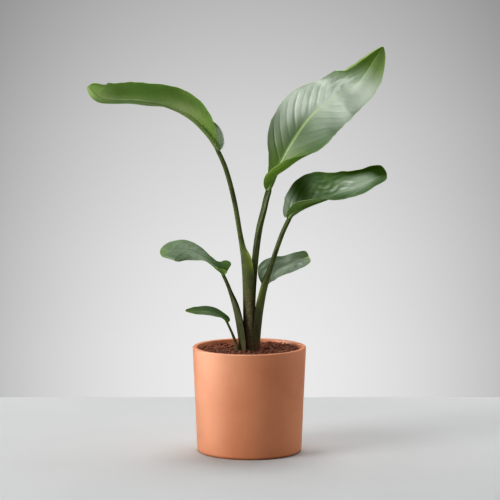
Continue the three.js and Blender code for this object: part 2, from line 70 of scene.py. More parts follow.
def ramp(tree, factor, *stops):
    made = addNode(tree, "ValToRGB", {"Fac": factor})
    while len(made.color_ramp.elements) < len(stops):
        made.color_ramp.elements.new(0.5)
    for element, (place, colour) in zip(made.color_ramp.elements, stops):
        element.position = place
        element.color = colour
    return made.outputs["Color"]


def grey(value):
    return (value, value, value, 1)


def mixColours(tree, factor, first, second, blend="MIX"):
    made = addNode(tree, "Mix", data_type="RGBA", blend_type=blend)
    for socket, value in ((made.inputs[0], factor), (made.inputs[6], first), (made.inputs[7], second)):
        if isinstance(value, bpy.types.NodeSocket):
            tree.links.new(value, socket)
        else:
            socket.default_value = value
    return made.outputs[2]


def sums(tree, operation, first, second=0.5):
    return addNode(tree, "Math", {0: first, 1: second}, operation=operation).outputs[0]


def times(tree, first, second):
    return sums(tree, "MULTIPLY", first, second)


def scaled(tree, value, by, plus):
    return addNode(tree, "Math", {0: value, 1: by, 2: plus}, operation="MULTIPLY_ADD").outputs[0]


def noiseAt(tree, vector, scale, detail=3, rough=0.5):
    return addNode(tree, "TexNoise", {"Vector": vector, "Scale": scale, "Detail": detail,
                                      "Roughness": rough}).outputs["Fac"]


def stretched(tree, vector, scale):
    return addNode(tree, "Mapping", {"Vector": vector, "Scale": scale}).outputs["Vector"]


def deselect():
    if bpy.context.object and bpy.context.object.mode != "OBJECT":
        bpy.ops.object.mode_set(mode="OBJECT")
    bpy.ops.object.select_all(action="DESELECT")


def smoothStep(low, high, value):
    t = min(1, max(0, (value - low) / (high - low)))
    return t * t * (3 - 2 * t)


def applyModifier(piece, kind, name, **settings):
    modifier = piece.modifiers.new(name, kind)
    for key, value in settings.items():
        setattr(modifier, key, value)
    bpy.context.view_layer.objects.active = piece
    bpy.ops.object.modifier_apply(modifier=modifier.name)


def smoothBelow(piece, degrees):
    deselect()
    piece.select_set(True)
    bpy.context.view_layer.objects.active = piece
    bpy.ops.object.shade_smooth_by_angle(angle=math.radians(degrees))


# The camera stands nearly four metres off and looks down a little
cameraPlace = {"at": (0.00095, -3.744, 0.7316), "down": 6.65, "lens": 187.2, "sees": 50}

bpy.ops.object.camera_add(location=cameraPlace["at"],
                          rotation=(math.radians(90 - cameraPlace["down"]), 0, 0))
camera = bpy.context.object
camera.name = "camera"
camera.data.lens = cameraPlace["lens"]
camera.data.clip_end = cameraPlace["sees"]
bpy.context.scene.camera = camera
bpy.context.scene.view_settings.view_transform = "Standard"
bpy.context.scene.view_settings.look = "High Contrast"

# A pale table top with soft studio light. The wall behind it, a grey for each height, is brightest low down
# and fades towards its sides.
studio = {
    "tableHalf": 0.453,
    "tableColours": (tint(198, 199, 199), tint(194, 195, 195)),
    "left": {"at": (-2.1, -1.2, 1.1), "size": (1.3, 1.9), "watts": 41},
    "side": {"at": (-2.25, 0.1, 0.75), "size": (2.3, 1.8), "watts": 98, "glossOnly": True},
    "right": {"at": (2.3, 0.35, 0.8), "size": (1.2, 1.6), "watts": 12},
    "above": {"at": (0.1, 0.75, 2.1), "size": (1.7, 1.3), "watts": 26},
    "sheen": {"at": (-0.9, -2.0, 2.6), "size": (2.3, 2.0), "watts": 200, "glossOnly": True},
    "aim": (0, 0, 0.28),
    "wall": ((0, 0.57), (0.113, 0.598), (0.184, 0.598), (0.337, 0.564), (0.52, 0.493), (0.72, 0.384),
             (0.9, 0.28)),
    "wallHeight": (4.0, 0.8), "wallFade": 32.5, "wallDarkest": 0.62,
}

deselect()
bpy.ops.mesh.primitive_plane_add(size=2 * studio["tableHalf"])
table = bpy.context.object
table.name = "table"
material, tree = emptyMaterial("table")
spot = addNode(tree, "TexCoord").outputs["Object"]
tableTone = ramp(tree, noiseAt(tree, spot, 3), *zip((0.35, 0.65), studio["tableColours"]))
shader = addNode(tree, "BsdfPrincipled", {"Base Color": tableTone, "Roughness": 0.8,
                                          "Specular IOR Level": 0.0})
addNode(tree, "OutputMaterial", {"Surface": shader.outputs[0]})
table.data.materials.append(material)


def softLight(name, at, size, watts, glossOnly=False):
    bpy.ops.object.light_add(type="AREA", location=at)
    light = bpy.context.object
    light.name = name
    light.data.shape = "RECTANGLE"
    light.data.size, light.data.size_y = size
    light.data.energy = watts
    light.rotation_euler = (Vector(studio["aim"]) - Vector(at)).to_track_quat("-Z", "Y").to_euler()
    light.visible_diffuse = not glossOnly
    light.visible_transmission = not glossOnly


for name in ("left", "side", "right", "above", "sheen"):
    softLight(name + " light", **studio[name])

world = bpy.data.worlds.new("studio")
bpy.context.scene.world = world
world.use_nodes = True
tree = world.node_tree
tree.nodes.clear()
direction = addNode(tree, "SeparateXYZ", {0: addNode(tree, "TexCoord").outputs["Generated"]})
height = scaled(tree, direction.outputs["Z"], *studio["wallHeight"])
glow = ramp(tree, height, *((place, grey(value)) for place, value in studio["wall"]))
aside = sums(tree, "MINIMUM", sums(tree, "POWER", sums(tree, "ABSOLUTE", direction.outputs["X"]), 2.0),
             sums(tree, "POWER", sums(tree, "ABSOLUTE", direction.outputs["Y"]), 2.0))
fade = sums(tree, "SUBTRACT", 1.0, times(tree, aside, studio["wallFade"]))
fade = sums(tree, "MAXIMUM", fade, studio["wallDarkest"])
shade = mixColours(tree, 1.0, glow, fade, "MULTIPLY")
background = addNode(tree, "Background", {"Color": shade, "Strength": 1.0})
addNode(tree, "OutputWorld", {"Surface": background.outputs[0]})
print("camera and studio ready")


# The pot: a cylinder hollowed by inset and extrude, its edges bevelled, with three drain holes
pot = {
    "height": 154, "rimRadius": 82.5, "baseRadius": 76, "wall": 6.5, "floor": 8, "sides": 144,
    "rimRound": (1.4, 5), "baseRound": (5, 6), "insideRound": (6, 5),  # radius and steps
    "drainRadius": 5, "drainCircle": 36, "drains": 3, "drainSides": 32,
    "clay": tint(206, 139, 100), "clayLight": tint(213, 150, 112), "clayDark": tint(190, 118, 80),
}


def terracotta():
    material, tree = emptyMaterial("terracotta")
    spot = addNode(tree, "TexCoord").outputs["Object"]
    broad = noiseAt(tree, spot, 14, 4)
    grain = noiseAt(tree, spot, 900, 4, 0.6)
    rings = noiseAt(tree, stretched(tree, spot, (6, 6, 260)), 1, 3)
    clay = ramp(tree, broad, (0.3, pot["clayDark"]), (0.5, pot["clay"]), (0.72, pot["clayLight"]))
    clay = mixColours(tree, 0.5, pot["clay"], clay)
    clay = mixColours(tree, times(tree, rings, 0.22), clay, pot["clayLight"])
    speck = ramp(tree, noiseAt(tree, spot, 420, 2, 0.7), (0.66, grey(0)), (0.74, grey(1)))
    clay = mixColours(tree, times(tree, speck, 0.35), clay, pot["clayDark"])
    rough = scaled(tree, grain, 0.15, 0.44)
    relief = sums(tree, "ADD", times(tree, grain, 0.6), times(tree, rings, 0.8))
    bump = addNode(tree, "Bump", {"Height": relief, "Strength": 0.25, "Distance": 0.0004})
    shader = addNode(tree, "BsdfPrincipled", {"Base Color": clay, "Roughness": rough,
                                              "Normal": bump.outputs[0], "Specular IOR Level": 0.5})
    addNode(tree, "OutputMaterial", {"Surface": shader.outputs[0]})
    return material


def selectEdges(mesh, wanted):
    for edge in mesh.edges:
        a, b = (mesh.vertices[i].co for i in edge.vertices)
        edge.select = wanted(a, b)


def selectFaces(mesh, wanted):
    for part in (mesh.vertices, mesh.edges, mesh.polygons):
        for item in part:
            item.select = False
    for face in mesh.polygons:
        face.select = wanted(face)


def makePot():
    deselect()
    high, base = pot["height"] * mm, pot["baseRadius"] * mm
    bpy.ops.mesh.primitive_cylinder_add(vertices=pot["sides"], radius=base, depth=high,
                                        location=(0, 0, high / 2), end_fill_type="NGON")
    piece = bpy.context.object
    piece.name = "terracottaPot"
    bpy.ops.object.transform_apply(location=True, rotation=True, scale=True)
    mesh = piece.data
    selectFaces(mesh, lambda face: face.normal.z > 0.9)
    bpy.ops.object.mode_set(mode="EDIT")
    bpy.ops.mesh.select_mode(type="FACE")
    wider = pot["rimRadius"] / pot["baseRadius"]
    bpy.ops.transform.resize(value=(wider, wider, 1))
    bpy.ops.mesh.inset(thickness=pot["wall"] * mm)
    floorRadius = pot["baseRadius"] + (pot["rimRadius"] - pot["baseRadius"]) * pot["floor"] / pot["height"]
    down = -(pot["height"] - pot["floor"]) * mm
    bpy.ops.mesh.extrude_region_move(TRANSFORM_OT_translate={"value": (0, 0, down)})
    narrower = (floorRadius - pot["wall"]) / (pot["rimRadius"] - pot["wall"])
    bpy.ops.transform.resize(value=(narrower, narrower, 1))
    bpy.ops.object.mode_set(mode="OBJECT")
    near, inside = 1e-5, pot["floor"] * mm
    rounds = (
        ("rimRound", lambda a, b: min(a.z, b.z) > high - near and abs(a.length - b.length) < near),
        ("baseRound", lambda a, b: max(a.z, b.z) < near),
        ("insideRound", lambda a, b: max(abs(a.z - inside), abs(b.z - inside)) < near),
    )
    for name, wanted in rounds:
        size, steps = pot[name]
        selectFaces(mesh, lambda face: False)
        selectEdges(mesh, wanted)
        bpy.ops.object.mode_set(mode="EDIT")
        bpy.ops.mesh.select_mode(type="EDGE")
        bpy.ops.mesh.bevel(offset=size * mm, segments=steps, affect="EDGES")
        bpy.ops.object.mode_set(mode="OBJECT")
    for i in range(pot["drains"]):
        turn = 2 * math.pi * (i + 0.25) / pot["drains"]
        deselect()
        bpy.ops.mesh.primitive_cylinder_add(
            vertices=pot["drainSides"], radius=pot["drainRadius"] * mm, depth=4 * pot["floor"] * mm,
            location=(pot["drainCircle"] * mm * math.cos(turn), pot["drainCircle"] * mm * math.sin(turn), 0))
        drill = bpy.context.object
        applyModifier(piece, "BOOLEAN", "drain", object=drill, operation="DIFFERENCE", solver="EXACT")
        bpy.data.objects.remove(drill)
    smoothBelow(piece, 35)
    mesh.materials.clear()
    mesh.materials.append(terracotta())
    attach(piece, "root")
    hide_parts("pot")


makePot()
print("pot made")


# Potting soil: a turned body with an uneven top, and loose crumbs, fibres and perlite on it
soil = {
    "level": 147, "edge": 75.4, "foot": (63, 8.4), "rings": 46, "ringSpan": 0.97, "sides": 150, "grain": 1.5,
    "heap": (38, 26, 3.2, 30), "collar": (0, 0, 1.2, 26),
    "tones": (tint(76, 44, 31), tint(132, 80, 56), tint(192, 128, 94)), "lumps": 260,
}


def mound(x, y, spot):
    atX, atY, rise, spread = spot
    return rise * math.exp(-((x - atX) ** 2 + (y - atY) ** 2) / spread ** 2)


def soilHeight(x, y):
    broad = 0.9 * math.sin(x / 11 + 0.6) * math.cos(y / 13)
    fine = 0.6 * math.sin(x / 5.3) * math.sin(y / 6.1 + 1)
    return soil["level"] + broad + fine + mound(x, y, soil["heap"]) + mound(x, y, soil["collar"])


def soilMaterial(name, tones, scale):
    dark, middle, light = tones
    material, tree = emptyMaterial(name)
    spot = addNode(tree, "TexCoord").outputs["Object"]
    lumps = noiseAt(tree, spot, scale, 5, 0.65)
    fine = noiseAt(tree, spot, scale * 5, 4, 0.7)
    earth = ramp(tree, lumps, (0.3, dark), (0.52, middle), (0.75, light))
    earth = mixColours(tree, times(tree, fine, 0.5), earth, dark)
    relief = sums(tree, "ADD", lumps, times(tree, fine, 0.4))
    bump = addNode(tree, "Bump", {"Height": relief, "Strength": 0.7, "Distance": 0.0008})
    shader = addNode(tree, "BsdfPrincipled", {"Base Color": earth, "Roughness": 0.93,
                                              "Normal": bump.outputs[0], "Specular IOR Level": 0.3})
    addNode(tree, "OutputMaterial", {"Surface": shader.outputs[0]})
    return material


def makeSoil():
    deselect()
    bpy.ops.mesh.primitive_cylinder_add(vertices=soil["sides"], radius=1, depth=1, end_fill_type="TRIFAN")
    piece = bpy.context.object
    piece.name = "pottingSoil"
    mesh = piece.data
    selectFaces(mesh, lambda face: face.normal.z > 0.9)
    bpy.ops.object.mode_set(mode="EDIT")
    bpy.ops.mesh.select_mode(type="FACE")
    for i in range(soil["rings"]):
        bpy.ops.mesh.inset(thickness=soil["ringSpan"] / soil["rings"])
    bpy.ops.object.mode_set(mode="OBJECT")
    footRadius, footLevel = soil["foot"]
    for vertex in mesh.vertices:
        x, y, z = vertex.co
        if z < 0:
            vertex.co = (x * footRadius * mm, y * footRadius * mm, footLevel * mm)
            continue
        away = math.hypot(x, y)
        x, y = x * soil["edge"], y * soil["edge"]
        place = Vector((x, y, 0))
        lumps = noise.noise(place / 5.5) + 0.6 * noise.noise(place / 2.3) + 0.35 * noise.noise(place / 1.1)
        rough = soil["grain"] * lumps * smoothStep(1.0, 0.9, away)
        vertex.co = (x * mm, y * mm, (soilHeight(x, y) + rough) * mm)
    smoothBelow(piece, 40)
    mesh.materials.clear()
    mesh.materials.append(soilMaterial("soil bed", soil["tones"], soil["lumps"]))
    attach(piece, "root")
    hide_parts("soil")


# What lies loose on the soil, up to its reach from the middle and clear of the stalks
crumbs = {
    "name": "soilCrumbs", "count": 1500, "size": (0.5, 2.8), "sink": 0.45, "reach": 73, "clear": 11,
    "tones": (soil["tones"][0], tint(150, 92, 66), tint(206, 144, 108)), "lumps": 420,
}
chips = {
    "name": "barkChips", "count": 40, "size": (1.6, 3.4), "sink": 0.3, "tilt": 0.8, "reach": 70, "clear": 13,
    "tones": (tint(62, 38, 28), tint(104, 66, 46), tint(150, 102, 72)), "lumps": 300,
}
perlite = {
    "name": "perliteGrains", "count": 16, "size": (0.5, 1.0), "sink": 0.6, "reach": 68, "clear": 15,
    "tones": (tint(196, 188, 176), tint(226, 220, 210), tint(240, 238, 232)), "lumps": 500,
}
fibres = {
    "name": "coirFibres", "count": 90, "length": (6, 19), "thick": (0.12, 0.28), "reach": 68, "clear": 14,
    "points": 7, "lift": (1.0, 2.6), "tones": (tint(92, 58, 38), tint(138, 92, 62), tint(176, 128, 92)),
    "lumps": 300,
}
trunk = {"middle": 2, "wider": 1.5}  # where the stalks come up: its middle in x, its width against its depth


def freeSpot(reach, clear):
    while True:
        turn, away = random.uniform(0, 2 * math.pi), reach * math.sqrt(random.random())
        x, y = away * math.cos(turn), away * math.sin(turn)
        if math.hypot((x - trunk["middle"]) / trunk["wider"], y) > clear:
            return x, y


def scatter(kind, makeOne):
    pieces = []
    for i in range(kind["count"]):
        x, y = freeSpot(kind["reach"], kind["clear"])
        pieces.append(makeOne(i, x, y))
    deselect()
    for item in pieces:
        item.select_set(True)
    bpy.context.view_layer.objects.active = pieces[0]
    bpy.ops.object.join()
    piece = bpy.context.object
    piece.name = kind["name"]
    bpy.ops.object.transform_apply(location=True, rotation=True, scale=True)
    smoothBelow(piece, 50)
    piece.data.materials.clear()
    piece.data.materials.append(soilMaterial(kind["name"], kind["tones"], kind["lumps"]))
    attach(piece, "root")


def lumpShapes(count, squash):
    shapes = []
    for i in range(count):
        deselect()
        bpy.ops.mesh.primitive_ico_sphere_add(subdivisions=2, radius=1)
        shape = bpy.context.object
        for vertex in shape.data.vertices:
            push = 1 + 0.42 * noise.noise(vertex.co * 1.3 + Vector((i * 7, 0, 0)))
            vertex.co = vertex.co * push
            vertex.co.z *= squash
        shapes.append(shape)
    return shapes


def copyAt(shape, x, y, size, kind):
    tilt = kind.get("tilt", 0.5)
    piece = shape.copy()
    piece.data = shape.data.copy()
    bpy.context.scene.collection.objects.link(piece)
    piece.scale = [size * mm * random.uniform(0.75, 1.3) for axis in range(3)]
    piece.rotation_euler = (random.uniform(-tilt, tilt), random.uniform(-tilt, tilt), random.uniform(0, 6.3))
    piece.location = (x * mm, y * mm, (soilHeight(x, y) + size * kind["sink"]) * mm)
    return piece


def makeFibre(x, y, length, thick):
    points, last = [], fibres["points"] - 1
    low, high = fibres["lift"]
    turn, bend = random.uniform(0, 6.3), random.uniform(-0.5, 0.5)
    for i in range(fibres["points"]):
        s = i / last
        lift = low + high * math.sin(math.pi * s) * random.uniform(0.3, 1.0)
        atX = x + length * (s - 0.5) * math.cos(turn + bend * s)
        atY = y + length * (s - 0.5) * math.sin(turn + bend * s)
        if math.hypot(atX, atY) > soil["edge"] - 2:
            return makeFibre(x * 0.9, y * 0.9, length * 0.8, thick)
        points.append(Vector((atX, atY, soilHeight(atX, atY) + lift)) * mm)
    curve = bpy.data.curves.new("fibre", "CURVE")
    curve.dimensions = "3D"
    curve.bevel_depth = thick * mm
    curve.bevel_resolution = 0
    spline = curve.splines.new("POLY")
    spline.points.add(len(points) - 1)
    for i, point in enumerate(points):
        spline.points[i].co = (*point, 1)
        spline.points[i].radius = 1 - 0.6 * abs(2 * i / last - 1)
    piece = bpy.data.objects.new("fibre", curve)
    bpy.context.scene.collection.objects.link(piece)
    deselect()
    piece.select_set(True)
    bpy.context.view_layer.objects.active = piece
    bpy.ops.object.convert(target="MESH")
    return bpy.context.object


def makeLitter():
    lumps = lumpShapes(6, 0.8)
    flakes = lumpShapes(4, 0.28)
    small, big = crumbs["size"]
    crumbSize = lambda: small + (big - small) * random.random() ** 3
    scatter(crumbs, lambda i, x, y: copyAt(lumps[i % len(lumps)], x, y, crumbSize(), crumbs))
    scatter(chips, lambda i, x, y: copyAt(flakes[i % len(flakes)], x, y,
                                          random.uniform(*chips["size"]), chips))
    scatter(perlite, lambda i, x, y: copyAt(lumps[i % len(lumps)], x, y,
                                            random.uniform(*perlite["size"]), perlite))
    scatter(fibres, lambda i, x, y: makeFibre(x, y, random.uniform(*fibres["length"]),
                                              random.uniform(*fibres["thick"])))
    for shape in lumps + flakes:
        bpy.data.objects.remove(shape)


makeSoil()
makeLitter()
print("soil made")


# Leaves. Every leaf is a row of stations from the foot of its stalk to the tip of its blade, in millimetres.
# Stalk: middle, way its upper side looks, half width and depth, how far it clasps (0 to 1).
# Blade: middle, way its upper side looks, then for the left and right half the width, the degrees that it
# rises at the midrib and the degrees that it curls further by its margin. The foot is the same at its base.
# Ends: how round the base and the tip are, and the share of the blade that the tip takes.
# Wave: height, number and phase of the margin's ripples. Lobe: how far each half reaches back at its base.
# Roll: how late each half curls. Sheath: the radius that a clasping stalk bends to, and how far round it is.
# Pleats: how deep their creases are in the left and right half, how far apart and where they end.
# Crease shade: how dark the painted shade in the creases of each half is. Midrib: how pale it is. Woody: how
# much
# bark the sheath has. Tender: where a sheath's pale edge starts, and how pale. Bloom and sheen: a pale waxy
# bloom with painted sheen and painted highlights. Dark: painted shade. Fresh: a painted glow of light through
# the leaf. These and crumple are soft spots on the blade, each with its place along and across, its half
# lengths that way and its strength.
arching = {
    "name": "arching", "grid": (84, 230), "ends": (0.6, 0.34, 0.22), "wave": (1.2, 3.2, 0.6), "lobe": (2, 6),
    "roll": (2, 2), "sheath": (5.4, 158), "tender": (255, 1), "woody": 1,
    "pleats": (0.3, 0.3, 14, 1), "creaseShade": (0.08, 0.08), "midrib": 0.5,
    "bloomAndSheen": [(0.97, 0.6, 0.1, 0.6, 1), (0.05, 0.8, 0.05, 0.6, 2.5), (0.24, -0.15, 0.14, 0.4, 1.5),
              (0.66, 0, 0.25, 0.22, 0.6), (0.08, -0.2, 0.08, 0.6, 1), (0.86, -0.2, 0.1, 0.6, 0.4)],
    "dark": [(0.14, 0.8, 0.03, 0.5, 0.9), (0.37, -0.65, 0.1, 0.4, 0.4)],
    "fresh": [(0.95, 0.2, 0.14, 0.8, 0.6), (0.12, -0.3, 0.16, 0.5, 0.8)], "crumple": [],
    "stalk": [
        ((-4, 0, 112), (1, 0, 0), (7, 4), 1),
        ((-4.6, 0, 152), (1, 0, 0), (7, 4), 1),
        ((-5, 0, 190), (1, 0, 0), (6.5, 4), 1),
        ((-5.4, 0, 225), (1, 0, 0), (6, 4), 0.95),
        ((-6.4, -1, 258), (1, 0, 0), (5.2, 4), 0.94),
        ((-8, -1.5, 281), (1, 0, 0), (4.7, 4), 0.78),
        ((-10.2, -2.4, 300), (1, 0.1, 0.1), (4.2, 4), 0.2),
        ((-14, -4, 325), (1, 0.2, 0.2), (4.1, 3.9), 0),
        ((-21, -7, 365), (1, 0.3, 0.3), (3.9, 3.7), 0),
        ((-31, -11, 405), (0.9, 0.4, 0.35), (3.6, 3.5), 0),
        ((-44, -16, 441), (0.78, 0.5, 0.4), (3.3, 3.2), 0),
    ],
    "foot": ((4, 28), (58, 84), (-20, 45)),
    "blade": [
        ((-63, -21, 469), (0.6, 0.56, 0.6), (19, 28), (42, 74), (-25, 0)),
        ((-90, -27, 493), (0.4, 0.6, 0.75), (33, 34), (33, 40), (-20, -4)),
        ((-123, -34, 508), (0.1, 0.6, 0.8), (35, 35), (27, 29), (-16, -2)),
        ((-158, -41, 514), (0, 0.6, 0.8), (33, 34), (26, 24), (-14, -2)),
        ((-191, -48, 516), (0, 0.5, 0.85), (31, 31), (30, 16), (-18, 0)),
        ((-214, -52, 521), (0.1, 0.4, 0.9), (30, 26), (38, 4), (-26, 0)),
        ((-228, -54.5, 536), (0.3, 0.3, 0.9), (24, 20), (42, 0), (-28, 0)),
    ],
}

upright = {
    "name": "upright", "grid": (104, 260), "ends": (0.6, 1, 0.17), "wave": (1.2, 3.4, 2.1), "lobe": (3, 3),
    "roll": (4, 2), "sheath": (6, 60), "tender": (0, 0), "woody": 0,
    "pleats": (0.6, 0.3, 15.5, 0.8), "creaseShade": (0.65, 0.4), "midrib": 1.0,
    "bloomAndSheen": [(0.74, -0.2, 0.18, 1.2, 2.2), (0.46, -0.7, 0.13, 0.4, 0.8), (0.26, -0.5, 0.1, 0.4, 0.6),
              (0.1, -0.5, 0.1, 0.5, 0.4)],
    "dark": [(0.38, -0.85, 0.1, 0.3, 0.3), (0.38, 0.45, 0.1, 0.5, 0.15), (0.4, 0, 0.08, 0.3, 0.3),
             (0.97, 0.5, 0.08, 0.7, 0.45), (0.84, 0.45, 0.07, 0.4, 0.2)],
    "fresh": [(1, 0, 0.1, 2, 2.2), (0.88, -1, 0.1, 0.35, 1), (0.1, 0.8, 0.14, 0.6, 0.9),
              (0.16, -0.5, 0.1, 0.6, 0.65), (0.24, 0.3, 0.1, 0.8, 0.4), (0.25, -0.5, 0.12, 0.4, 0.25)],
    "crumple": [(0.78, -0.3, 0.25, 0.8, 0.16)],
    "stalk": [
        ((3, 0, 112), (-1, 0, 0), (5.6, 5.6), 0),
        ((3.2, 0, 152), (-1, 0, 0), (5.6, 5.6), 0),
        ((3.4, 0, 190), (-1, 0, 0), (5.4, 5.5), 0),
        ((3.9, 1, 225), (-1, 0, 0), (5.2, 5.3), 0),
        ((6, 3, 258), (-1, -0.1, 0), (5, 5.2), 0),
        ((9, 5, 290), (-1, -0.3, 0.1), (4.8, 5.2), 0),
        ((14.4, 9, 325), (-0.9, -0.5, 0.15), (4.5, 4.7), 0),
        ((22, 13.5, 355), (-0.7, -0.7, 0.2), (4.3, 4.1), 0),
        ((27.5, 18, 380), (-0.5, -0.8, 0.3), (4.2, 3.9), 0),
    ],
    "foot": ((8, 22), (70, 100), (20, 20)),
    "blade": [
        ((40, 26, 410), (-0.35, -0.88, 0.3), (14, 41), (38, 25), (0, 150)),
        ((62, 38, 449), (-0.25, -0.92, 0.35), (40, 53), (20, 4), (-6, 54)),
        ((91, 52, 487), (-0.2, -0.92, 0.4), (48, 50), (7, 9), (-6, -6)),
        ((126, 65, 513), (-0.15, -0.9, 0.42), (37, 44), (4, 6), (10, -8)),
        ((160, 74, 534), (-0.05, -0.92, 0.36), (37, 33), (4, 6), (170, 0)),
        ((196, 74, 586), (0.1, -1, 0), (32, 32), (6, 6), (200, 6)),
    ],
}

cupped = {
    "name": "cupped", "grid": (92, 170), "ends": (0.5, 0.3, 0.22), "wave": (1.1, 2.6, 0.4), "lobe": (8, 3),
    "roll": (2, 2), "sheath": (11.2, 75), "tender": (205, 0.4), "woody": 0,
    "pleats": (0.5, 0.2, 13, 1), "creaseShade": (0.12, 0.12), "midrib": 0.2,
    "bloomAndSheen": [(0.72, -0.15, 0.16, 0.5, 1.3), (0.14, -0.7, 0.06, 0.5, 0.5)],
    "dark": [(0.28, -0.6, 0.09, 0.8, 1), (0.82, -1, 0.24, 0.34, 1.7), (0.96, -0.65, 0.11, 0.5, 1.5),
             (1, -0.25, 0.1, 0.6, 1.4), (0.46, -0.4, 0.06, 0.4, 0.15), (0.5, 0.12, 0.09, 0.09, 0.8)],
    "fresh": [(0.3, 1, 0.1, 0.3, 0.6)], "crumple": [(0.6, -0.15, 0.22, 0.6, 1)],
    "stalk": [
        ((10, -1, 112), (-1, 0, 0), (5, 4.2), 1),
        ((10.9, -1, 152), (-1, 0, 0), (5, 4.4), 1),
        ((13.1, -0.5, 184), (-1, 0, 0), (5, 4.6), 1),
        ((16.6, 1, 212), (-1, 0, 0), (4.9, 4.6), 1),
        ((21.8, 3, 240), (-1, 0, 0), (4.6, 4.6), 0.6),
        ((31, 6, 270), (-1, -0.2, 0.2), (4.1, 3.9), 0.05),
        ((43, 11, 305), (-0.9, -0.35, 0.35), (3.7, 3.5), 0),
        ((57, 18, 339), (-0.75, -0.5, 0.4), (3.4, 3.2), 0),
    ],
    "foot": ((16, 12), (40, 75), (10, 20)),
    "blade": [
        ((68, 22, 349), (-0.5, -0.6, 0.65), (27, 20), (34, 72), (0, 10)),
        ((86, 25, 358), (-0.3, -0.68, 0.68), (42, 26), (30, 66), (0, 0)),
        ((108, 26, 366), (-0.2, -0.75, 0.65), (43, 24), (30, 58), (-4, -10)),
        ((134, 24, 376), (-0.1, -0.78, 0.6), (33, 17), (28, 30), (30, -10)),
        ((160, 20, 387), (-0.1, -0.8, 0.6), (27, 19), (30, 14), (60, -6)),
        ((182, 15, 398), (-0.1, -0.8, 0.6), (25, 17), (30, 12), (74, 0)),
        ((199, 11, 405), (-0.2, -0.75, 0.6), (26, 20), (34, 12), (74, 0)),
    ],
}

nodding = {
    "name": "nodding", "grid": (56, 120), "ends": (0.12, 0.4, 0.22), "wave": (1.2, 2.4, 1.2),
    "lobe": (-5, -13), "roll": (2, 2), "sheath": (10.5, 75), "tender": (0, 0), "woody": 0,
    "pleats": (0.16, 0.16, 5, 1), "creaseShade": (0.3, 0.3), "midrib": 0.3,
    "bloomAndSheen": [(0.5, 0, 0.3, 1.2, 0.7)], "dark": [(0.04, 0.3, 0.08, 1, 0.25), (0.97, 0, 0.14, 1.2, 0.22)],
    "fresh": [(0.05, 0, 0.1, 1, 0.3), (1, 0, 0.08, 1, 0.8)], "crumple": [(0.6, 0, 0.5, 2, 0.3)],
    "stalk": [
        ((-10.3, -2, 112), (1, 0, 0), (4.6, 3.4), 1),
        ((-11.4, -2, 152), (1, 0, 0), (4.6, 3.6), 1),
        ((-14.3, -3, 180), (1, 0, 0), (4.5, 3.9), 1),
        ((-19.3, -5, 207), (1, 0, 0.1), (4, 3.7), 0.7),
        ((-27, -9, 234), (0.9, -0.2, 0.3), (3.1, 3), 0.05),
        ((-37, -15, 261), (0.5, -0.4, 0.75), (2.5, 2.4), 0),
    ],
    "foot": ((13, 22), (60, 76), (0, 0)),
    "blade": [
        ((-46, -19, 271), (0.42, -0.5, 0.74), (9.5, 9.5), (45, 50), (0, 0)),
        ((-59, -24, 282.5), (0.3, -0.6, 0.7), (6, 7.5), (16, 24), (0, 0)),
        ((-74, -30, 292.5), (0.1, -0.65, 0.7), (11.5, 15), (0, 14), (-10, -10)),
        ((-92, -35, 298.5), (0, -0.65, 0.75), (16.5, 18), (-6, 12), (-20, -10)),
        ((-110, -40, 298.5), (-0.1, -0.65, 0.7), (19, 18), (-8, 10), (-20, -10)),
        ((-127, -44, 293.5), (-0.3, -0.6, 0.6), (10, 14), (-8, 8), (-20, -10)),
    ],
}

rear = {
    "name": "rear", "grid": (50, 90), "ends": (0.5, 0.2, 0.22), "wave": (0.7, 2.2, 2.8), "lobe": (1, 2),
    "roll": (2, 2), "sheath": (9, 60), "tender": (0, 0), "woody": 0,
    "pleats": (0.16, 0.16, 5, 1), "creaseShade": (0.3, 0.3), "midrib": 0.3,
    "bloomAndSheen": [(0.5, 0, 0.5, 1.2, 0.8), (0.12, 0, 0.15, 1.5, 0.5)], "dark": [],
    "fresh": [(1, 0, 0.08, 1.2, 0.9)], "crumple": [(0.5, 0, 0.5, 2, 0.5)],
    "stalk": [
        ((3, 10.6, 112), (-0.2, -1, 0), (4.2, 3), 1),
        ((4, 11, 152), (-0.2, -1, 0), (4, 3), 1),
        ((8, 12.6, 182), (-0.3, -1, 0), (3.6, 2.9), 0.5),
        ((14, 15.5, 212), (-0.3, -1, 0.1), (3, 2.7), 0.05),
        ((23, 20, 241), (-0.3, -0.95, 0.3), (2.4, 2.3), 0),
    ],
    "foot": ((15, 12), (40, 44), (0, 0)),
    "blade": [
        ((31, 24, 254), (-0.3, -0.9, 0.4), (23, 14), (24, 30), (0, 0)),
        ((43, 30, 263), (-0.15, -0.9, 0.45), (21, 14.5), (18, 20), (-6, -6)),
        ((57, 35, 269), (-0.1, -0.9, 0.45), (15.5, 14.5), (14, 18), (-6, -6)),
        ((72, 39, 275), (0, -0.9, 0.4), (13.5, 14.5), (14, 16), (0, 0)),
        ((87, 42, 281), (0.1, -0.9, 0.4), (12, 14), (16, 16), (10, 10)),
    ],
}

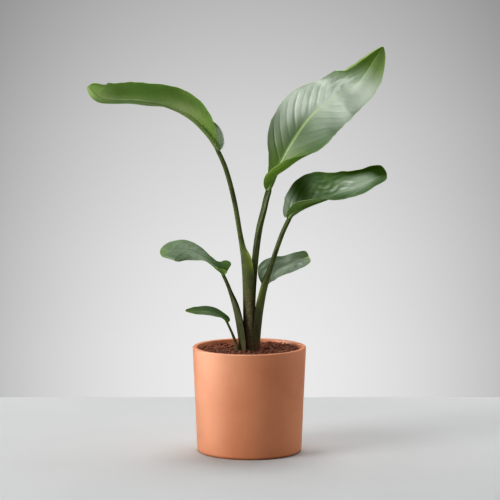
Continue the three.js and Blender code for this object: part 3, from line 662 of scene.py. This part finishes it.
lowest = {
    "name": "lowest", "grid": (36, 80), "ends": (0.5, 0.85, 0.22), "wave": (0.4, 2, 0.5), "lobe": (2, 4),
    "roll": (2, 2), "sheath": (9, 35), "tender": (0, 0), "woody": 0,
    "pleats": (0.1, 0.1, 4, 1), "creaseShade": (0.3, 0.3), "midrib": 0.2,
    "bloomAndSheen": [(0.6, -0.2, 0.25, 0.5, 0.1)], "dark": [(0.7, 0, 0.5, 2, 0.3), (0.97, 0, 0.2, 2, 0.3)],
    "fresh": [(0.94, 0, 0.13, 1, 0.7)], "crumple": [],
    "stalk": [
        ((-16, -9, 112), (0.8, 0.6, 0), (2.7, 2.4), 0.6),
        ((-18, -9.4, 152), (0.8, 0.5, 0), (2.7, 2.5), 0.5),
        ((-22, -12, 168), (0.8, 0.2, 0.2), (2.4, 2.3), 0),
        ((-31.5, -16.5, 192), (0.7, -0.2, 0.6), (1.8, 1.7), 0),
    ],
    "foot": ((5, 7), (60, 66), (0, 0)),
    "blade": [
        ((-38.5, -20, 200), (0.4, -0.5, 0.75), (6, 6), (30, 40), (0, 0)),
        ((-49, -23, 205.5), (0.1, -0.6, 0.75), (7, 8), (14, 20), (0, 0)),
        ((-62, -26, 209), (0, -0.65, 0.75), (8, 9), (8, 12), (0, 0)),
        ((-77, -30, 210), (0, -0.65, 0.75), (7, 8), (8, 12), (0, 0)),
        ((-92, -34, 211), (0.1, -0.6, 0.75), (6, 5), (10, 12), (0, 0)),
    ],
}

# What all blades share: a thickness that thins towards the margin, a deeper midrib with its share of the
# columns, a rounded base, veins that lean and bend and wander, uneven edges, dimples and wrinkles
bladeShape = {
    "thick": 0.6, "thinner": 0.35, "ribDepth": 1.15, "ribColumns": 0.2, "ribEnd": 0.5, "ribTaper": 0.8,
    "ribEdge": 0.6, "baseRound": 0.2, "lobeEnd": 0.3, "veinLean": 0.84, "veinBend": 0.008, "veinGap": 1.15,
    "drift": ((1.3, 17, 1), (0.7, 7.3, 2)), "crease": 1.5, "uneven": (1.1, 11), "dimple": (0.35, 16),
    "crumple": 1.3, "crumpleGrain": (15, 18, 8),
}

# What all stalks share: the level that they stand on, the stretch that tapers on under the blade, as a share
# of a station, how far they sink there, and a channel along the front
stalkShape = {
    "foot": 112.3, "around": 40, "stepsPerStation": 8,
    "under": 0.3, "underShrinks": 0.75, "sinks": (0.45, 0.15),
    "halfTurn": 96, "front": 0.62, "frontWidth": 0.94, "channel": 0.3, "margin": 0.5,
    "tenderRise": 25, "tenderFall": (60, 30), "woodyEdge": (0.2, 0.5), "woodyFall": (275, 160),
}


# Smooth curve through a list of numbers or vectors, at a place counted in list entries
def through(values, place):
    last = len(values) - 1
    i = min(last - 1, max(0, math.floor(place)))
    t = place - i
    a, b, c, d = (values[min(last, max(0, k))] for k in (i - 1, i, i + 1, i + 2))
    return b + (c - a + (2 * a - 5 * b + 4 * c - d + (3 * (b - c) + d - a) * t) * t) * (0.5 * t)


# Middle of a leaf at a place counted in stations, the way along it, across it and up from its upper side
def leafFrame(leaf, place):
    spots = [Vector(s[0]) for s in leaf["stalk"] + leaf["blade"]]
    faces = [Vector(s[1]) for s in leaf["stalk"] + leaf["blade"]]
    step = 0.02
    ahead = through(spots, min(len(spots) - 1, place + step))
    along = (ahead - through(spots, max(0, place - step))).normalized()
    up = through(faces, place)
    up = (up - along * up.dot(along)).normalized()
    return through(spots, place), along, along.cross(up), up


# Width at t against the widest, from nothing at the base to nothing at the tip
def outline(t, ends):
    fromBase = math.sin(math.pi / 2 * min(1, t / bladeShape["baseRound"])) ** ends[0]
    return fromBase * max(0, math.sin(math.pi / 2 * min(1, (1 - t) / ends[2]))) ** ends[1]


# Strength of soft spots at a place, t along and out across with its sign
def paintAt(spots, t, out):
    return min(1, sum(strength * math.exp(-((t - at) / tall) ** 2 - ((out - aside) / wide) ** 2)
                      for at, aside, tall, wide, strength in spots))


# A crease where each side vein leaves the midrib, no two alike, and a slightly domed strip between them
def pleatHeight(vein, gap):
    nearest = round(vein / gap)
    away = abs(vein - nearest * gap)
    depth = 0.6 + 0.4 * math.sin(nearest * 2.4)
    return -depth * math.exp(-(away / bladeShape["crease"]) ** 2) + 0.15 * math.sin(math.pi * away / gap)


# One row across a blade at t, from 0 at its base to 1 at its tip: a dictionary for each column
def bladeRow(leaf, t, length, columns):
    look = bladeShape
    stations = [leaf["foot"]] + [s[2:] for s in leaf["blade"]]
    origin, along, across, up = leafFrame(leaf, len(leaf["stalk"]) - 1 + t * len(leaf["blade"]))
    ribHalf, ribDeep = leaf["stalk"][-1][2]
    taper = (1 - t) ** look["ribTaper"]
    rib = look["ribEnd"] + (ribHalf - look["ribEnd"]) * taper
    rippleHeight, waves, phase = leaf["wave"]
    uneven, unevenGrain = look["uneven"]
    dimple, dimpleGrain = look["dimple"]
    alongGrain, leanGrain, acrossGrain = look["crumpleGrain"]
    row = [None] * (2 * columns + 1)
    for side in (-1, 1):
        k = 0 if side < 0 else 1
        wide, fold, curl = (through([s[item][k] for s in stations], t * len(leaf["blade"]))
                            for item in range(3))
        fold, curl = math.radians(fold), math.radians(curl)
        halfWidth = rib + look["ribEdge"] + (wide - ribHalf) * outline(t, leaf["ends"])
        halfWidth += (uneven * noise.noise(Vector((length / unevenGrain, 9 * side, ribHalf)))
                      * smoothStep(0, 0.15, t) * smoothStep(1, 0.95, t))
        backset = leaf["lobe"][k] * max(0, 1 - t / look["lobeEnd"]) ** 2
        x = y = distance = 0
        for column in range(columns + 1):
            share = column / columns
            part = look["ribColumns"]
            reach = (rib * share / part if share < part
                     else rib + (halfWidth - rib) * (share - part) / (1 - part))
            turn = fold + curl * ((distance + reach) / 2 / halfWidth) ** leaf["roll"][k]
            x += (reach - distance) * math.cos(turn)
            y += (reach - distance) * math.sin(turn)
            distance = reach
            out = distance / halfWidth
            turn = fold + curl * out ** leaf["roll"][k]
            normal = up * math.cos(turn) - across * (side * math.sin(turn))
            ripple = math.sin(math.pi * t) * math.sin(2 * math.pi * waves * t + phase * (2 + side))
            vein = length - look["veinLean"] * distance - look["veinBend"] * distance ** 2
            vein += sum(size * math.sin(vein / span + turns * side) for size, span, turns in look["drift"])
            hold = smoothStep(0.06, 0.24, out) * smoothStep(1.0, 0.72, out)
            hold *= smoothStep(1.0, 0.6, t / leaf["pleats"][3])
            pleat = pleatHeight(vein, leaf["pleats"][2]) * leaf["pleats"][k] * hold
            point = origin + across * (side * x) + up * y
            wrinkle = noise.noise(Vector((length / alongGrain + distance / leanGrain,
                                          side * distance / acrossGrain, 3)))
            wrinkle = (1 - 3 * abs(wrinkle)) * look["crumple"] * paintAt(leaf["crumple"], t, side * out)
            bump = dimple * noise.noise(point / dimpleGrain) + wrinkle * smoothStep(0.05, 0.2, out)
            point += normal * (rippleHeight * out ** 2 * ripple + pleat + bump * smoothStep(0, 0.3, out))
            point -= along * (backset * max(0, distance - rib) / wide)
            round = math.sqrt(max(0, 1 - (distance / rib) ** 2))
            ribDepth = ribDeep * look["ribDepth"] * taper * round
            # Paint for the material: painted shade in the creases, a pale bloom with painted sheen and
            # highlights, painted shade, and a painted glow of light through the leaf
            row[columns + side * column] = {
                "point": point * mm, "vein": vein, "out": out, "crease": hold * leaf["creaseShade"][k],
                "rib": smoothStep(0.95, 0.4, distance / rib),
                "bloomAndSheen": paintAt(leaf["bloomAndSheen"], t, side * out),
                "dark": paintAt(leaf["dark"], t, side * out),
                "fresh": paintAt(leaf["fresh"], t, side * out),
                "deep": look["thick"] * (1 - look["thinner"] * out) + ribDepth,
            }
    return row


# Puts a value on every point of a mesh, for its material to read
def keepOn(mesh, name, values):
    mesh.attributes.new(name, "FLOAT", "POINT").data.foreach_set("value", values)


def makeBlade(leaf):
    across, steps = leaf["grid"]
    deselect()
    bpy.ops.mesh.primitive_grid_add(x_subdivisions=across, y_subdivisions=steps, size=2)
    piece = bpy.context.object
    piece.name = leaf["name"] + "LeafBlade"
    mesh = piece.data
    spots = [Vector(s[0]) for s in leaf["stalk"][-1:] + leaf["blade"]]
    length, before, rows = 0, spots[0], []
    for j in range(steps + 1):
        u = j / steps
        t = u - 0.08 * math.sin(2 * math.pi * u)
        here = through(spots, t * (len(spots) - 1))
        length += (here - before).length
        before = here
        rows += bladeRow(leaf, t, length, across // 2)
    mesh.vertices.foreach_set("co", [axis for item in rows for axis in item["point"]])
    for name in ("vein", "out", "crease", "rib", "bloomAndSheen", "dark", "fresh"):
        keepOn(mesh, name, [item[name] for item in rows])
    deepest = max(item["deep"] for item in rows)
    group = piece.vertex_groups.new(name="thickness")
    for i, item in enumerate(rows):
        group.add([i], item["deep"] / deepest, "REPLACE")
    for kind in ("upper", "lower", "margin"):
        mesh.materials.append(leafMaterial(leaf, kind))
    applyModifier(piece, "SOLIDIFY", "thickness", thickness=deepest * mm, offset=-1, vertex_group="thickness",
                  material_offset=1, material_offset_rim=2)
    smoothBelow(piece, 60)
    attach(piece, "root")
    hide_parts(leaf["name"] + "_blade")


# Blades: their greens above and below, the colours of a painted glow, a painted shadow, a pale bloom with
# painted sheen and a pale painted sheen below, and how glossy they are, less so where the shade is painted
leafLook = {
    "deep": tint(54, 86, 44), "green": tint(80, 116, 60), "fresh": tint(118, 154, 78),
    "underDeep": tint(98, 130, 58), "under": tint(126, 158, 78), "underFresh": tint(164, 194, 112),
    "midrib": tint(184, 212, 124), "underMidrib": tint(98, 120, 64), "margin": tint(168, 192, 108),
    "glow": tint(160, 206, 60), "paintedGlow": tint(144, 174, 72), "shadow": tint(66, 88, 24),
    "bloomAndSheen": tint(208, 219, 206), "underPale": tint(190, 198, 156),
    "rough": (0.2, 0.44), "sheenGloss": 0.14, "darkRough": 0.35, "coat": 0.25, "darkCoat": -0.24,
    "shine": 0.5, "darkShine": -0.4, "underSheen": 0.1, "coatRough": 0.38, "sheenRough": 0.4, "through": 0.34,
}


def leafMaterial(leaf, kind):
    name = leaf["name"] + " blade " + kind
    if name in bpy.data.materials:
        return bpy.data.materials[name]
    material, tree = emptyMaterial(name)
    read = lambda attribute: addNode(tree, "Attribute", attribute_name=attribute).outputs["Fac"]
    spot = addNode(tree, "TexCoord").outputs["Object"]
    vein, out, rib = read("vein"), read("out"), read("rib")
    bloomAndSheen, dark, paintedGlow = read("bloomAndSheen"), read("dark"), read("fresh")
    lower = kind == "lower"
    look = leafLook
    deep, green, fresh = ((look["underDeep"], look["under"], look["underFresh"]) if lower
                          else (look["deep"], look["green"], look["fresh"]))
    patches = noiseAt(tree, spot, 22, 4)
    tone = ramp(tree, patches, (0.3, deep), (0.52, green), (0.8, fresh))
    # painted shade: a dark line where the pleats meet, and fine vein lines between them
    gap = leaf["pleats"][2]
    pleatLine = sums(tree, "PINGPONG", sums(tree, "DIVIDE", vein, gap), 0.5)
    crease = times(tree, ramp(tree, pleatLine, (0.0, grey(1)), (0.07, grey(0))), read("crease"))
    fineLine = sums(tree, "PINGPONG", sums(tree, "DIVIDE", vein, bladeShape["veinGap"]), 0.5)
    fine = ramp(tree, fineLine, (0.0, grey(1)), (0.5, grey(0)))
    wander = noiseAt(tree, stretched(tree, addNode(tree, "CombineXYZ", {"X": vein, "Y": out}).outputs[0],
                                     (0.9, 1.6, 1)), 1, 3)
    tone = mixColours(tree, times(tree, wander, 0.35), tone, fresh)
    tone = mixColours(tree, times(tree, fine, 0.14), tone, deep)
    cloud = sums(tree, "ADD", times(tree, wander, 0.6), times(tree, patches, 0.5))
    cloud = ramp(tree, cloud, (0.3, grey(0.72)), (0.65, grey(1)))
    # Above, a pale waxy bloom with painted sheen; below, a pale painted sheen and painted highlight
    if lower:
        tone = mixColours(tree, times(tree, bloomAndSheen, 0.9), tone, look["underPale"])
    else:
        tone = mixColours(tree, times(tree, bloomAndSheen, cloud), tone, look["bloomAndSheen"])
    # Painted shade in the creases
    tone = mixColours(tree, crease, tone, deep)
    # Painted glow of light through the leaf: the fresh spots mix towards a bright yellow-green
    tone = mixColours(tree, paintedGlow, tone, look["paintedGlow"])
    # Painted shade: the dark spots mix towards the shadow green
    tone = mixColours(tree, dark, tone, look["shadow"])
    edge = ramp(tree, out, (0.955, grey(0)), (1.0, grey(1)))
    tone = mixColours(tree, times(tree, edge, 0.45), tone, look["margin"])
    # The midrib pales towards the painted sheen where the bloom lies
    ribTone = mixColours(tree, times(tree, bloomAndSheen, 0.6), look["midrib"], look["bloomAndSheen"])
    tone = mixColours(tree, times(tree, rib, 0.5 if lower else 0.85 * leaf["midrib"]), tone,
                      look["underMidrib"] if lower else ribTone)
    if kind == "margin":
        tone = mixColours(tree, 0.6, tone, look["margin"])
    relief = sums(tree, "ADD", times(tree, fine, 0.5), times(tree, wander, 0.8))
    bump = addNode(tree, "Bump", {"Height": relief, "Strength": 0.35, "Distance": 0.00025})
    # Glossier where the bloom and its painted sheen lie; duller, with less coat and shine, where the shade is
    # painted
    rough = scaled(tree, patches, *look["rough"])
    if not lower:
        rough = sums(tree, "SUBTRACT", rough, times(tree, bloomAndSheen, look["sheenGloss"]))
        rough = sums(tree, "ADD", rough, times(tree, dark, look["darkRough"]))
    coat, shine = look["coat"], look["shine"]
    if leaf["dark"]:
        coat, shine = scaled(tree, dark, look["darkCoat"], coat), scaled(tree, dark, look["darkShine"], shine)
    shader = addNode(tree, "BsdfPrincipled", {
        "Base Color": tone, "Roughness": rough, "Normal": bump.outputs[0], "Specular IOR Level": shine,
        "Sheen Weight": look["underSheen"] if lower else coat, "Sheen Roughness": look["sheenRough"],
        "Coat Weight": 0.0 if lower else coat, "Coat Roughness": look["coatRough"]})
    glow = addNode(tree, "BsdfTranslucent", {"Color": mixColours(tree, 0.6, tone, look["glow"])})
    both = addNode(tree, "MixShader", {"Fac": look["through"], 1: shader.outputs[0], 2: glow.outputs[0]})
    addNode(tree, "OutputMaterial", {"Surface": both.outputs[0]})
    return material


# The ring of a stalk at a place: a back, and a channel or the inside of a sheath in front of it
def stalkRing(half, clasp, sheath, count):
    shape = stalkShape
    wide, deep = half
    reach, span = sheath
    outside = reach + deep
    ring = []
    for i in range(count):
        front = i >= count // 2
        u = 2 * (i % (count // 2)) / (count // 2 - 1) - 1
        u = -u if front else u
        turn = math.radians(shape["halfTurn"]) * u
        wrap = math.radians(span) * u
        swell = math.cos(math.pi / 2 * u) ** 2
        inside = outside - shape["margin"] - (2 * deep - shape["margin"]) * swell
        if front:
            round = (shape["frontWidth"] * wide * math.sin(turn),
                     deep * (shape["front"] - shape["channel"] * math.cos(turn) ** 2))
            wrapped = (inside * math.sin(wrap), reach - inside * math.cos(wrap))
        else:
            round = (wide * math.sin(turn), -deep * math.cos(turn))
            wrapped = (outside * math.sin(wrap), reach - outside * math.cos(wrap))
        ring.append((round[0] + (wrapped[0] - round[0]) * clasp,
                     round[1] + (wrapped[1] - round[1]) * clasp, 1 if front else abs(u)))
    return ring


# Paint on a stalk at a height, near the front of a sheath (0 to 1): its tender edge, and its bark
def stalkPaint(leaf, clasp, near, height):
    low, strength = leaf["tender"]
    fallEnd, fallStart = stalkShape["tenderFall"]
    tender = strength * near ** 3 * min(1, 2 * clasp)
    tender *= smoothStep(low, low + stalkShape["tenderRise"], height)
    tender *= smoothStep(low + fallEnd, low + fallStart, height)
    bark = smoothStep(*stalkShape["woodyEdge"], near) * smoothStep(*stalkShape["woodyFall"], height)
    return tender, leaf["woody"] * bark


def makeStalk(leaf):
    around, under = stalkShape["around"], stalkShape["under"]
    sinkBefore, sinkUnder = stalkShape["sinks"]
    stations = leaf["stalk"]
    last = len(stations) - 1
    steps = math.ceil((last + under) * stalkShape["stepsPerStation"])
    deselect()
    bpy.ops.mesh.primitive_grid_add(x_subdivisions=around, y_subdivisions=steps, size=2)
    piece = bpy.context.object
    piece.name = leaf["name"] + "LeafStalk"
    mesh = piece.data
    points, tender, woody = [], [], []
    for j in range(steps + 1):
        place = (last + under) * j / steps
        origin, along, across, up = leafFrame(leaf, place)
        on = min(place, last)
        half = through([Vector(s[2]) for s in stations], on)
        clasp = min(1, max(0, through([s[3] for s in stations], on)))
        past = max(0, place - last) / under
        sink = (sinkBefore * smoothStep(last - 0.8, last, place) + sinkUnder * past) * half[1]
        ring = stalkRing(half * (1 - stalkShape["underShrinks"] * past), clasp, leaf["sheath"], around)
        for i in range(around + 1):
            x, y, near = ring[i % around]
            point = origin + across * x + up * (y - sink)
            if j == 0:
                point.z = stalkShape["foot"]
            points.extend(point * mm)
            edge, bark = stalkPaint(leaf, clasp, near, point.z)
            tender.append(edge)
            woody.append(bark)
    mesh.vertices.foreach_set("co", points)
    keepOn(mesh, "tender", tender)
    keepOn(mesh, "woody", woody)
    piece.select_set(True)
    bpy.ops.object.mode_set(mode="EDIT")
    bpy.ops.mesh.select_mode(type="VERT")
    bpy.ops.mesh.select_all(action="SELECT")
    bpy.ops.mesh.remove_doubles(threshold=1e-6)
    bpy.ops.mesh.select_all(action="SELECT")
    bpy.ops.mesh.fill_holes(sides=0)
    bpy.ops.mesh.select_all(action="SELECT")
    bpy.ops.mesh.normals_make_consistent(inside=False)
    bpy.ops.object.mode_set(mode="OBJECT")
    smoothBelow(piece, 60)
    mesh.materials.append(stalkMaterial())
    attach(piece, "root")
    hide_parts(leaf["name"] + "_stalk")


# Stalks: their greens, and the heights where they turn dark, brown and scaly (from, fully by, how much)
stalkLook = {
    "green": tint(92, 102, 60), "dark": tint(72, 78, 48), "pale": tint(124, 134, 98),
    "tender": tint(182, 200, 100), "bark": tint(126, 90, 68), "wood": tint(112, 104, 76),
    "woodLight": tint(176, 158, 130), "top": tint(98, 112, 68),
    "scale": tint(124, 112, 96), "darkBelow": (0.275, 0.15, 0.7), "brownBelow": (0.23, 0.15, 1.0),
    "scalyBelow": (0.245, 0.2, 0.55),
}


def below(tree, height, span):
    start, end, most = span
    return addNode(tree, "MapRange", {0: height, 1: start, 2: end, 3: 0.0, 4: most}).outputs[0]


def stalkMaterial():
    if "stalk skin" in bpy.data.materials:
        return bpy.data.materials["stalk skin"]
    material, tree = emptyMaterial("stalk skin")
    look = stalkLook
    spot = addNode(tree, "TexCoord").outputs["Object"]
    tender, woody = (addNode(tree, "Attribute", attribute_name=name).outputs["Fac"]
                     for name in ("tender", "woody"))
    height = addNode(tree, "SeparateXYZ", {0: spot}).outputs["Z"]
    streaks = noiseAt(tree, stretched(tree, spot, (700, 700, 26)), 1, 4, 0.6)
    patches = noiseAt(tree, spot, 60, 4)
    tone = ramp(tree, patches, (0.3, look["dark"]), (0.55, look["green"]), (0.8, look["top"]))
    tone = mixColours(tree, below(tree, height, look["darkBelow"]), tone, look["dark"])
    tone = mixColours(tree, times(tree, ramp(tree, streaks, (0.5, grey(0)), (0.75, grey(1))), 0.4),
                      tone, look["pale"])
    brown = noiseAt(tree, stretched(tree, spot, (160, 160, 14)), 1, 4, 0.7)
    brown = ramp(tree, brown, (0.52, grey(0)), (0.62, grey(1)))
    tone = mixColours(tree, times(tree, brown, below(tree, height, look["brownBelow"])), tone, look["bark"])
    scales = noiseAt(tree, stretched(tree, spot, (420, 420, 900)), 1, 3, 0.7)
    scales = ramp(tree, scales, (0.5, grey(0)), (0.62, grey(1)))
    tone = mixColours(tree, times(tree, scales, below(tree, height, look["scalyBelow"])), tone, look["scale"])
    rough = noiseAt(tree, stretched(tree, spot, (420, 420, 300)), 1, 4, 0.75)
    bark = ramp(tree, rough, (0.42, look["wood"]), (0.62, look["woodLight"]))
    tone = mixColours(tree, times(tree, woody, 0.95), tone, bark)
    tone = mixColours(tree, tender, tone, look["tender"])
    bump = addNode(tree, "Bump", {"Height": streaks, "Strength": 0.3, "Distance": 0.0003})
    shader = addNode(tree, "BsdfPrincipled", {
        "Base Color": tone, "Roughness": 0.6, "Normal": bump.outputs[0], "Specular IOR Level": 0.1})
    addNode(tree, "OutputMaterial", {"Surface": shader.outputs[0]})
    return material


for leaf in (arching, upright, cupped, nodding, rear, lowest):
    makeStalk(leaf)
    makeBlade(leaf)
    print(leaf["name"], "leaf made")


# The rootstock stays as the frame has it, hidden in the soil, with a corky skin
def rootSkin():
    material, tree = emptyMaterial("root skin")
    spot = addNode(tree, "TexCoord").outputs["Object"]
    cork = noiseAt(tree, spot, 180, 5, 0.6)
    tone = ramp(tree, cork, (0.3, tint(98, 72, 50)), (0.55, tint(146, 112, 80)), (0.8, tint(186, 156, 122)))
    bump = addNode(tree, "Bump", {"Height": cork, "Strength": 0.5, "Distance": 0.0008})
    shader = addNode(tree, "BsdfPrincipled", {"Base Color": tone, "Roughness": 0.85,
                                              "Normal": bump.outputs[0]})
    addNode(tree, "OutputMaterial", {"Surface": shader.outputs[0]})
    return material


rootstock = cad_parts["rootstock"]
rootstock.data.materials.clear()
rootstock.data.materials.append(rootSkin())

print("everything placed")
